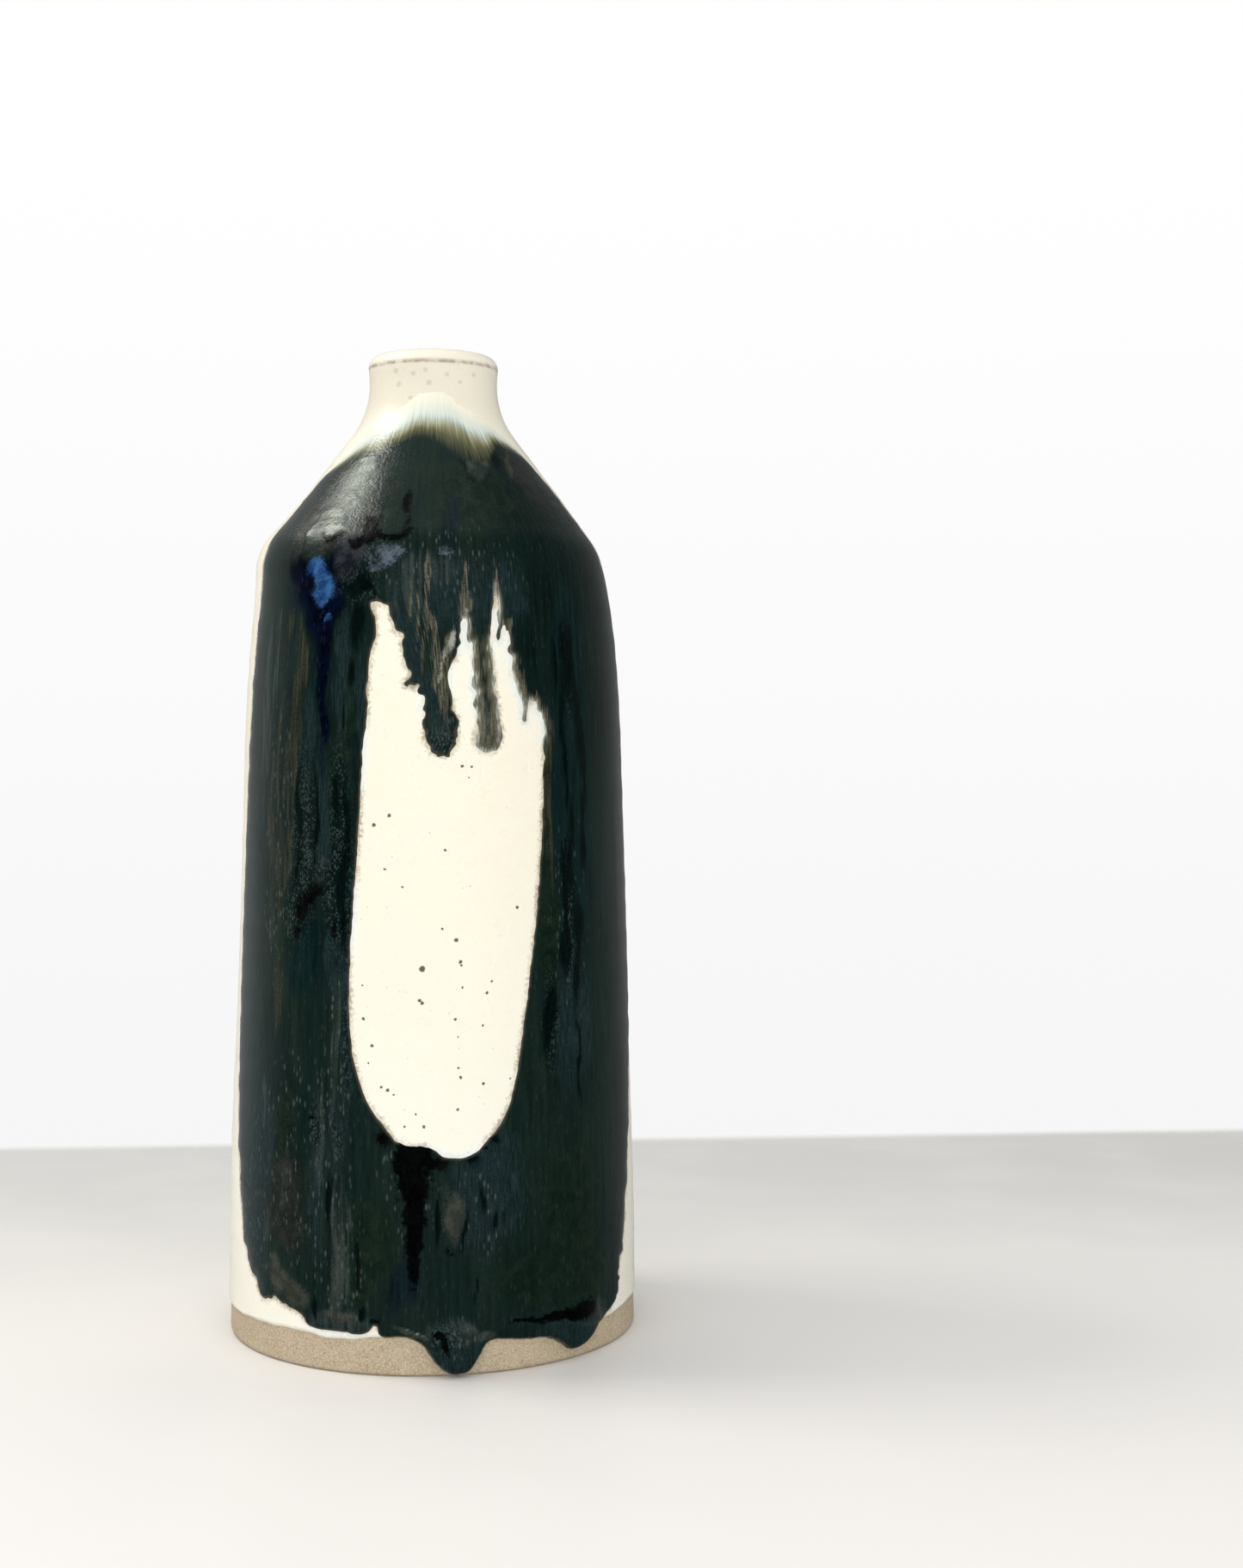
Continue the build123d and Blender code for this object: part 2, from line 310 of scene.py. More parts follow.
def glaze_line(theta):
    """Height of the cream glaze's lower edge."""
    turn = (np.asarray(theta) + 180) % 360 - 180
    angles, heights = np.array(GLAZE_LINE).T
    wave = 0.12 * np.sin(np.radians(17 * turn)) + 0.08 * np.sin(np.radians(41 * turn + 70))
    return np.interp(turn, angles, heights) + wave


def cream_lift(theta, height):
    """Lift of the surface that the dark glaze lies on: the cream above its lower edge, clay below."""
    above = height - glaze_line(theta)
    edge = smooth(above, -0.1, 0.7) - 1
    roll = 0.22 * bell(above, 1.1, 1.0) * smooth(theta, -40, -35) * (1 - smooth(theta, -19, -14))
    return CLAY_TO_CREAM * edge + 0.05 * bell(above, 1.0, 0.7) + roll * (above > 0)


def dark_distance(theta, height):
    """Distance inside the dark glaze's edge, ragged except along the thick rims at the foot."""
    inside = distance_inside(theta, height, DARK_OUTLINE)
    inside = np.minimum(inside, -distance_inside(theta, height, WINDOW))
    points = to_metres(theta, outside_radius(height), height) / MM
    top = np.where(theta < -15, 170, 132)
    calm = np.where(np.abs(theta) < 40, smooth(height, 40, 46) * (1 - smooth(height, top, top + 6)), 0)
    rough = (smooth(height, 10, 16) + 0.3) * (1 - 0.6 * calm)
    fine = hash_noise(points * [1, 1, 0.8], 1.1, 3) - 0.5
    coarse = hash_noise(points, 3.1, 5) - 0.5
    return inside + rough * (0.85 * fine + 0.45 * coarse)


# ---------------------------------------------------------------- meshes

def make_object(name, points, faces, attributes, sharp=()):
    """A smooth-shaded mesh object with a float attribute for each named array."""
    mesh = bpy.data.meshes.new(name)
    mesh.from_pydata(points.reshape(-1, 3).tolist(), [], faces)
    mesh.update()
    mesh.polygons.foreach_set("use_smooth", np.ones(len(mesh.polygons), bool))
    for key, values in attributes.items():
        values = np.asarray(values, np.float32)
        kind = "FLOAT_VECTOR" if values.ndim > 1 and values.shape[-1] == 3 else "FLOAT"
        layer = mesh.attributes.new(key, kind, "POINT")
        layer.data.foreach_set("vector" if kind == "FLOAT_VECTOR" else "value", values.ravel())
    if len(sharp):
        wanted = {tuple(sorted(pair)) for pair in np.asarray(sharp).tolist()}
        flags = [tuple(sorted(edge.vertices)) in wanted for edge in mesh.edges]
        mesh.attributes.new("sharp_edge", "BOOLEAN", "EDGE").data.foreach_set("value", flags)
    piece = bpy.data.objects.new(name, mesh)
    bpy.context.scene.collection.objects.link(piece)
    return piece


def lathe(name, theta, radius, height, closed, attributes=None):
    """A turned mesh of rows that each run once round the axis. Its first row joins its last when
    closed, and otherwise both are tips on the axis."""
    rows, columns = radius.shape
    points = to_metres(theta, radius, height)
    index = np.arange(rows * columns).reshape(rows, columns)
    faces = []
    last = rows if closed else rows - 1
    for row in range(0 if closed else 1, last if closed else last - 1):
        a, b = index[row], index[(row + 1) % rows]
        quads = np.stack([a, np.roll(a, -1), np.roll(b, -1), b], -1)
        faces += quads.tolist()
    points = points.reshape(-1, 3)
    if not closed:
        for tip, ring, flip in ((0, 1, False), (rows - 1, rows - 2, True)):
            a, b = index[ring], np.roll(index[ring], -1)
            top = np.full(columns, index[tip][0])
            fan = np.stack([a, b, top] if flip else [b, a, top], -1)
            faces += fan.tolist()
        keep = np.ones(rows * columns, bool)
        keep[index[0][1:]] = False
        keep[index[-1][1:]] = False
        renumber = np.cumsum(keep) - 1
        faces = [[int(renumber[v]) for v in face] for face in faces]
        points = points[keep]
        given = (attributes or {}).items()
        attributes = {key: np.asarray(values).reshape(rows * columns, -1)[keep] for key, values in given}
    return make_object(name, points, faces, attributes or {})


def spaced(*stops):
    """Values from stop to stop, each (value, step after it), closer where the step is small."""
    parts = []
    for (start, step), (end, _) in zip(stops[:-1], stops[1:]):
        count = max(1, round(abs(end - start) / step))
        parts.append(np.linspace(start, end, count, endpoint=False))
    return np.append(np.concatenate(parts), stops[-1][0])


def lip_rows():
    """Lengths along the path from the collar over the lip and down to the liner."""
    collar = outside_length(COLLAR_START)
    return spaced((collar, 0.45), (LENGTH_AT_TOP + 0.6, 0.2), (LENGTH_AT_TOP + 2.4, 0.8),
                  (LENGTH_AT_LINER, 1))


def make_clay():
    """The fired clay, from the middle of the underside out over the foot, up, over the lip and down."""
    columns = np.arange(0, 360, 1.0)
    depth, chamfer = 2.0, 0.9
    foot = FOOT_RADIUS - CLAY_TO_CREAM
    under = [(0, depth), (6, depth), (14, depth), (22, depth), (29, depth), (33.5, depth),
             (34.6, depth - 0.1), (35.4, depth - 0.4), (36.6, 0.8), (37.5, 0.25), (38.3, 0.03), (39.5, 0)]
    under += [(r, 0) for r in np.linspace(41, foot - chamfer - 0.6, 8)]
    under += [(foot - chamfer - 0.1, 0.02), (foot - chamfer * 0.6, 0.18), (foot - chamfer * 0.25, 0.45),
              (foot - 0.06, 0.85)]
    radius, height = np.array(under, float).T
    lengths = spaced((1.3, 0.4), (11, 2), (20, 8), (outside_length(180), 3),
                     (outside_length(COLLAR_START), 0.6), (LENGTH_AT_TOP + 2.4, 3),
                     (LENGTH_AT_LINER + 30, 8), (LENGTH_AT_AXIS - 60, 2.5), (LENGTH_AT_AXIS, 1))
    up_radius, up_height = path_rows(lengths, -CLAY_TO_CREAM)
    up_radius[-1] = 0
    radius = np.concatenate([radius, up_radius])[:, None] + 0 * columns
    height = np.concatenate([height, up_height])[:, None] + 0 * columns
    angles = columns[None] + 0 * radius
    points = np.stack([radius * np.sin(np.radians(angles)), radius * np.cos(np.radians(angles)), height], -1)
    band = (radius > foot - 3) & (height < 12) & (height > 0.3)
    grain = hash_noise(points, 1.3, 11) + 0.7 * hash_noise(points, 3.0, 12) - 0.85
    radius = radius + np.where(band, 0.07 * grain, 0)
    trimming = 0.05 * np.sin(radius * 2.2 + np.radians(angles)) * (height < 2.2) * (radius < 34)
    return lathe("clay_body", angles, radius, height + trimming, False)


def make_cream():
    """The cream coat: up the outside from its wavy lower edge, over the lip, and back along the clay."""
    columns = np.arange(0, 360, 1.2)
    edge = glaze_line(columns)
    rise = np.array([0, 0.05, 0.18, 0.4, 0.7, 1.0, 1.4, 1.9, 2.5, 3.2, 4.0])
    low_height = edge[None] + rise[:, None]
    low_lift = cream_lift(columns[None] + 0 * low_height, low_height)
    low_lift[0] = -CLAY_TO_CREAM
    lengths = spaced((14.0, 1.0), (outside_length(186), 0.8), (outside_length(200), 1.0),
                     (outside_length(COLLAR_START), 1))
    lengths = np.concatenate([lengths, lip_rows()[1:]])
    back = np.concatenate([[LENGTH_AT_LINER], spaced((LENGTH_AT_TOP + 2.2, 0.7), (outside_length(234), 2.5),
                                                     (outside_length(180), 12), (16, 5))])
    radius, height = path_rows(outside_length(low_height), low_lift)
    up_radius, up_height = path_rows(lengths, 0)
    back_radius, back_height = path_rows(back, -CLAY_TO_CREAM)
    wide = np.zeros((1, len(columns)))
    radius = np.concatenate([radius, up_radius[:, None] + wide, back_radius[:, None] + wide])
    height = np.concatenate([height, up_height[:, None] + wide, back_height[:, None] + wide])
    angles = columns[None] + 0 * radius
    turn = (angles + 180) % 360 - 180
    outer_rows = (np.arange(len(radius)) < len(rise) + len(lengths))[:, None]
    front = (np.abs(turn) < 100) & (height < 227) & outer_rows
    inside = np.full(radius.shape, -20.0)
    outer = distance_inside(turn[front], height[front], DARK_OUTLINE)
    inside[front] = np.minimum(outer, -distance_inside(turn[front], height[front], WINDOW))
    inside[height > 200] = -20
    halo = np.max([blot(turn, height, *spot) for spot in HALOS], 0)
    rim = bell(height, 234.8, 0.42) * (radius > 14.5)
    return lathe("cream_coat", angles, radius, height, True, {"edge": inside, "halo": halo, "rim": rim})


def make_liner():
    """The liner: from the floor's middle up to the cream coat, and back against the clay."""
    columns = np.arange(0, 360, 2.0)
    lengths = spaced((LENGTH_AT_LINER, 1.5), (LENGTH_AT_LINER + 30, 4), (LENGTH_AT_AXIS - 60, 1.5),
                     (LENGTH_AT_AXIS - 36, 4), (LENGTH_AT_AXIS, 1))
    front_radius, front_height = path_rows(lengths[::-1], 0)
    back_radius, back_height = path_rows(lengths, -CLAY_TO_CREAM)
    front_radius[0] = back_radius[-1] = 0
    radius = np.concatenate([front_radius, back_radius])[:, None] + 0 * columns
    height = np.concatenate([front_height, back_height])[:, None] + 0 * columns
    return lathe("liner_coat", columns[None] + 0 * radius, radius, height, False)


def blot(theta, height, at, up, half_width, half_height, lean=0.0):
    """A soft oval at an angle and height, 1 in its middle and a half at its half width and half height.
    lean tips its top towards +X, in millimetres over its whole height."""
    across = (theta - at) * np.radians(1) * outside_radius(height) - lean * (height - up) / (2 * half_height)
    return 1 - smooth(np.hypot(across / half_width, (height - up) / half_height), 0.35, 1.65)


# Where the cream looks blue-white beside the dark: (angle, height, half width, half height)
HALOS = [
    (-26, 9.2, 10, 1.8), (-20.5, 141, 2, 7), (9, 168, 2, 6), (19, 168, 1.8, 6), (25, 155, 2.4, 7),
    (10.5, 156, 2, 6), (6, 50.5, 7, 3), (62, 9.6, 4, 2), (31, 148, 3, 4.4), (21.5, 166, 2.4, 6),
    (-22.6, 104, 1.4, 9), (5, 158, 1.6, 4), (-4, 153, 1.4, 3),
]

# Colours in the dark glaze: the darkest and lightest tone, the noise its edge follows, how far that
# moves the edge, how soft it is, its strength, and its places (angle, height, half width, half height,
# lean). Later colours lie over earlier ones.
PAINT = {
    "deep": ((0.0008, 0.0050, 0.0042), (0.0030, 0.0110, 0.0095), "streak", 0.8, 0.5, 0.75, [
        (42, 172, 12, 18), (58, 160, 8, 30), (52, 185, 10, 12), (34, 198, 8, 10), (30, 170, 4, 14),
        (-40, 119, 3.2, 22), (-27.4, 116, 2.6, 24), (-38, 98, 6, 11), (-43, 104, 4, 5), (-23, 140, 2, 20),
        (-24.5, 172, 3, 8), (-34, 160, 5, 22), (-43, 54, 5, 14), (33.5, 209, 1.5, 4, 1.5),
        (33.6, 84, 2.4, 16)]),
    "grass": ((0.0022, 0.0078, 0.0042), (0.0085, 0.0195, 0.0100), "cloud", 0.9, 0.5, 0.6, [
        (39, 32, 8, 22), (44, 20, 7, 10), (24, 22, 7, 8), (-25, 152, 2, 10), (14, 200, 10, 9),
        (-41, 128, 1, 8), (-44.5, 54, 4, 9), (-17, 30, 5, 10), (-46, 104, 3, 5), (34, 100, 2.2, 34),
        (-28, 133, 1.4, 7), (-36, 52.5, 1.6, 3), (-20, 24, 2, 10)]),
    "teal": ((0.0006, 0.0075, 0.0080), (0.0022, 0.0150, 0.0160), "streak", 1.0, 0.5, 0.75, [
        (43, 128, 4.4, 44), (45, 160, 4, 16), (-37, 96, 5, 8), (-41, 90, 3, 4), (39.6, 102, 2.4, 18),
        (-24.4, 106, 1, 20), (-36.5, 156, 1.2, 13), (48.4, 120, 2.6, 30), (-45, 180, 3, 6),
        (-54, 42, 2, 18), (-36.5, 58, 2, 8)]),
    "slate": ((0.0060, 0.0145, 0.0165), (0.0150, 0.0300, 0.0335), "thread", 1.0, 0.5, 0.7, [
        (-33, 127, 2.2, 13), (-37.8, 146, 1.6, 10), (-32.4, 44, 2, 15), (-27, 54, 1.6, 9), (-60, 42, 7, 28),
        (-24, 76, 1, 16), (-51, 46, 1.4, 16), (-64, 80, 5, 36), (-9, 172, 3.4, 13), (-6, 162, 2.6, 10),
        (-1, 152, 2.4, 9), (1, 145, 4, 4.6), (8, 178, 8, 8), (22, 178, 5, 7), (15, 44, 7, 13),
        (12, 40, 6, 10), (42, 6, 5, 3.4), (4, 6, 7, 6), (-29.4, 98, 1.2, 8), (-26, 12, 8, 2.4),
        (38, 8, 8, 2.4), (42, 79, 6, 13), (-27, 92, 1.6, 10), (-27, 160, 2.4, 14), (-21.6, 152, 1, 10)]),
    "olive": ((0.0095, 0.0120, 0.0065), (0.0400, 0.0420, 0.0250), "streak", 0.8, 0.5, 0.75, [
        (-41.8, 163, 1.5, 9), (-43.2, 150, 1.8, 10), (-45, 138, 1.9, 11), (-46.4, 172, 0.8, 4),
        (-46, 120, 1.3, 10), (-50, 140, 0.7, 14), (-50, 112, 1.2, 12), (-54, 126, 0.7, 16),
        (34.3, 132, 1.2, 18), (-25.4, 26, 1.6, 12), (-48, 86, 1.6, 8)]),
    "ash": ((0.012, 0.020, 0.019), (0.044, 0.060, 0.056), "streak", 1.0, 0.5, 0.6, [
        (-27.4, 76, 1.0, 12), (-31.6, 50, 1.0, 12), (-25.4, 26, 2.2, 13), (-26.4, 34, 1.6, 9),
        (-27.4, 56, 0.7, 6), (-43, 44, 0.8, 7), (-2, 183, 5, 3.6), (-7, 178, 3, 6), (4, 10.4, 5, 2.4),
        (-27, 11.8, 8, 1.8), (50, 9.5, 2.4, 3), (-58, 150, 1.4, 20), (-53, 162, 1.2, 11),
        (1, 145, 2.8, 3.4), (-52, 100, 0.8, 5), (-38.6, 124, 1.1, 11), (-32, 115, 2, 1.6),
        (-53.4, 58, 0.8, 6), (-51, 32, 0.8, 4), (15, 147, 2.6, 5)]),
    "tan": ((0.026, 0.026, 0.017), (0.150, 0.138, 0.092), "thread", 0.9, 0.4, 0.75, [
        (8.2, 175, 1.3, 3.4), (8.4, 181, 0.45, 4.4), (18.8, 181, 0.4, 4), (-1.4, 181, 0.4, 8),
        (-4.6, 173, 0.3, 7), (-7, 175, 0.3, 5), (-0.6, 169, 0.5, 6), (0.8, 161, 0.6, 5), (3, 155, 1.0, 5.4),
        (-2.4, 166, 0.3, 6), (4, 167, 0.7, 3.6, 1.2), (2.4, 161, 0.9, 3.4, 1.6), (12.6, 158, 0.8, 8),
        (16.6, 160, 0.8, 7), (13, 149, 1.1, 7), (17.2, 149, 1.3, 7), (24.6, 160, 0.6, 4.6, -1.6),
        (27, 154, 0.7, 4, -1.2), (31.8, 153, 0.7, 3), (22.8, 168, 0.45, 3), (15.4, 144, 2.8, 2.2),
        (18.7, 176, 0.8, 3)]),
    # The brown spot at angle 46, height 206 is partly brown in the glaze and partly a painted reflection: a
    # lighter brown-grey veil on the right shoulder, where the glaze mirrors the room.
    "brown": ((0.0090, 0.0085, 0.0074), (0.0250, 0.0240, 0.0200), "grain", 0.9, 0.5, 0.6, [
        (-34.5, 188.2, 3.4, 1.8), (-49, 197, 3.4, 11), (-31.4, 112, 1.6, 1.2), (-47, 187, 3.4, 3),
        (-23, 195, 3.4, 3), (-44, 41, 4.6, 7), (-41, 32, 4, 5), (-47, 34, 3, 6), (46, 206, 4, 6)]),
    "sand": ((0.030, 0.033, 0.024), (0.062, 0.064, 0.048), "grain", 0.4, 0.5, 0.75, [
        (4.6, 36.4, 2.1, 5.2), (41.4, 209.4, 1.2, 3.2, 5), (-47.6, 21.6, 2, 3.4), (-44, 19, 3.2, 2.6),
        (-39.4, 16, 3, 2.6), (-25, 13, 3.4, 1.2)]),
    "dusk": ((0.0014, 0.0045, 0.0085), (0.0040, 0.0115, 0.0190), "streak", 1.0, 0.5, 0.85, [
        (-5.8, 22, 1.6, 5), (-10.4, 20, 2.0, 5), (-8, 28, 0.8, 3), (10, 48.6, 2.2, 1.3),
        (-32.6, 140, 0.8, 6), (-45, 178, 2.4, 5), (6.5, 197.5, 1.2, 3.4), (4.6, 192, 1.6, 3)]),
    "navy": ((0.0001, 0.0002, 0.0030), (0.0004, 0.0022, 0.0120), "grain", 0.4, 0.45, 0.97, [
        (-45, 183.5, 3, 3), (-41.4, 180.6, 2.8, 5.4), (-38, 174.5, 2.8, 5), (-31.5, 183, 4, 4),
        (-31.5, 176.5, 3.2, 5), (-34.8, 170, 2.6, 6), (-33.4, 163, 1.3, 7), (-33.2, 155, 1.0, 7),
        (-33, 148, 0.8, 5), (-27, 183, 2.2, 3)]),
    "blue": ((0.005, 0.026, 0.090), (0.030, 0.110, 0.280), "grain", 0.4, 0.5, 0.9, [
        (-35.2, 181, 3.2, 3.8, -5), (-38.6, 184.2, 2.6, 2.4), (-36, 177.4, 2.6, 2),
        (-33.2, 171.6, 1.3, 0.9)]),
    "lavender": ((0.022, 0.032, 0.044), (0.150, 0.185, 0.245), "grain", 0.55, 0.5, 0.75, [
        (-19.6, 187, 2.2, 1.8), (-15.4, 186.2, 3.4, 2), (-12, 187.4, 3, 1.4), (-17.6, 183.4, 1.9, 1.4),
        (4.4, 187.4, 1.6, 1)]),
    "plum": ((0.0075, 0.0085, 0.0120), (0.0300, 0.0320, 0.0420), "grain", 0.45, 0.5, 0.85, [
        (-26, 188, 3.4, 5), (-26.5, 183.6, 3.4, 2.8)]),
    "pale": ((0.16, 0.17, 0.145), (0.42, 0.44, 0.39), "grain", 0.5, 0.5, 0.6, [
        (-6.2, 10.4, 0.4, 1.3, -6), (4.6, 168, 0.6, 2.4, 0.6), (3.2, 163.6, 0.45, 3, 1.6),
        (2, 159.6, 0.4, 2.4, 0.8), (18.7, 175.6, 0.45, 2.4), (8.9, 173, 0.5, 1.2), (-52, 14, 2.4, 0.5)]),
    "film": ((0.020, 0.026, 0.021), (0.060, 0.072, 0.062), "cloud", 0.6, 0.5, 0.55, [
        (-5.2, 9.6, 1.2, 1.8, -8), (8.6, 9.4, 1.6, 2.2), (13, 9, 2.4, 0.9), (22, 208, 3.4, 1.8)]),
    "soot": ((0.0003, 0.0003, 0.0005), (0.0026, 0.0020, 0.0020), "grain", 1.0, 0.5, 0.92, [
        (-34.2, 109.4, 2.6, 1.6), (-37.4, 107.2, 2.4, 1.8), (-39.6, 104, 1.8, 3), (-40.8, 99, 1, 1.6),
        (-29, 102, 0.8, 2), (-13.6, 54.2, 2, 2.3), (-34, 58.4, 0.8, 0.7), (1.4, 48.8, 1.8, 1.2),
        (-42, 116, 0.6, 6), (-9.4, 198.6, 0.8, 1.8), (-9, 194.4, 0.8, 1.4), (-10, 191.4, 2.4, 1.2)]),
    "black": ((0.0003, 0.0004, 0.0006), (0.0012, 0.0016, 0.0018), "curd", 1.1, 0.32, 0.97, [
        (-7.6, 48.4, 2.8, 4.2), (-2.4, 50, 3.3, 3.6), (-5.6, 43.5, 3.6, 6), (-5.3, 36, 2.6, 7),
        (-5.4, 29.5, 1.9, 5), (-5.6, 24, 1.1, 3.4), (41, 11.2, 4.6, 1.5), (45, 11.9, 2.4, 1.9),
        (34, 11.2, 5, 1.0), (26, 11.6, 6, 0.5), (-18, 190.8, 5, 1.1), (-21.5, 193.6, 2.6, 1.8),
        (-33, 190.6, 5, 0.7), (3.2, 7.4, 0.8, 2.2, -1.2), (1, 9.6, 0.8, 0.9), (-25, 190, 1.8, 1.2),
        (-21, 179.4, 1.6, 1.2)]),
    "ink": ((0.0001, 0.0018, 0.0018), (0.0004, 0.0048, 0.0046), "thread", 1.0, 0.4, 0.95, [
        (38, 161, 0.8, 8), (42.6, 163, 1.5, 9), (44.8, 160, 0.9, 11), (46.4, 148, 0.8, 8),
        (48.2, 138, 0.9, 12), (42.8, 120, 0.9, 12), (40, 109, 1.3, 12), (47.6, 122, 0.8, 9),
        (45, 99, 1.3, 9), (39.5, 97, 1.5, 9), (40.6, 140, 0.7, 18), (44, 88, 0.9, 6),
        (33.4, 81, 1.5, 9, 2.4), (43.6, 70, 0.8, 12), (-41.4, 128, 1.0, 9), (-35.4, 126, 0.7, 12),
        (-28, 131, 1.0, 5), (-23, 171, 1.4, 5), (-26, 110, 0.9, 13), (13.2, 208.4, 0.5, 2, -1.4),
        (-24.6, 126, 0.7, 10), (16.5, 205.2, 1.0, 0.6), (21, 204.2, 1.3, 0.5), (25.4, 204.8, 1.1, 0.6),
        (33.6, 210, 0.7, 3, 1.4), (0.9, 35, 0.45, 6.5), (8, 34.5, 0.45, 6.5), (4.6, 28.4, 1.5, 0.4),
        (10.4, 20, 0.4, 3), (-16, 12.4, 1.5, 0.7), (-20, 13.6, 0.7, 1.5), (12.8, 41, 0.7, 3.6),
        (15.4, 35, 0.6, 2.6), (18.6, 35, 0.5, 1.8), (-20.6, 26, 0.8, 6), (-19.2, 14, 0.6, 2),
        (-23, 180, 3.4, 2.4), (-28.4, 38, 0.7, 8), (-32.6, 14, 1.4, 2.4), (9.6, 49, 1.8, 0.6),
        (13.4, 51.2, 1.8, 0.5), (16.6, 53.8, 1.4, 0.6), (-24, 160, 0.7, 4), (-26, 150, 0.6, 4)]),
}
# Where the dark glaze has pale dashes in it: (angle, height, half width, half height)
MOTTLE = [
    (-43, 48, 8, 24), (-30, 44, 6, 24), (-24, 24, 5, 14), (-56, 36, 6, 18), (4, 184, 15, 7), (4, 9, 6, 5),
    (14, 38, 7, 10), (3, 147, 3, 6), (-7, 45, 6, 12), (41, 100, 5, 22), (-50, 120, 5, 30), (-27, 76, 3, 20),
]
# Where it is salt-and-pepper
PEPPER = [
    (-39.6, 121, 3.6, 19), (-27, 119, 2.7, 22), (-42.6, 104, 3, 5), (-28, 106, 3, 6), (33.8, 80, 1.8, 10),
    (-19, 186, 3.4, 3), (-23, 180, 4, 4), (2, 144, 3.6, 3.4), (41, 104, 1.8, 17), (42.6, 161, 1.4, 9),
    (3, 9, 4.4, 3.4), (-33, 56, 2, 5), (-24, 86, 1.1, 22), (-32, 114, 2.4, 1.8), (-27, 55, 1, 6),
]
# Where the dark glaze is so thin at its edge that the cream shows through
SHEER = [
    (15, 150, 3.4, 9), (9.4, 171, 1.6, 6), (18.8, 176, 0.9, 5), (26, 157, 3.4, 8), (32, 149, 2.4, 6),
    (14, 162, 3, 6),
]
# Where the glaze is satin rather than glossy, and where its skin is crinkled, as in MOTTLE
SATIN = [(-38, 196, 9, 8), (-30, 206, 9, 7), (-44, 190, 6, 5), (-22, 194, 6, 5), (58, 202, 14, 12)]
CRINKLE = [(-42, 194, 4.4, 3.6), (-33, 192.4, 3.6, 2.6), (-36, 209.6, 4, 2.4), (4, 8, 6, 5), (40, 9, 6, 4)]
# The beads of glaze at the foot: (angle, height, half width, half height, thickness)
BEADS = [
    (5.6, 5.4, 5.6, 5, 1.9), (40.5, 6.6, 6.4, 4.2, 1.4), (5.5, 9.5, 7.5, 5.2, 0.35), (30, 9, 10, 2.6, 0.4),
]


def top_fringe(theta, height):
    """0 at the dark glaze's upper edge, 0.6 where it turns olive, 1 where it turns dark, and on below."""
    angles, top, olive, dark = np.array(FRINGE).T
    top, olive, dark = (np.interp(theta, angles, line) for line in (top, olive, dark))
    upper = 0.6 * (top - height) / (top - olive)
    lower = 0.6 + 0.4 * (olive - height) / (olive - dark)
    return np.where(height > olive, upper, lower)


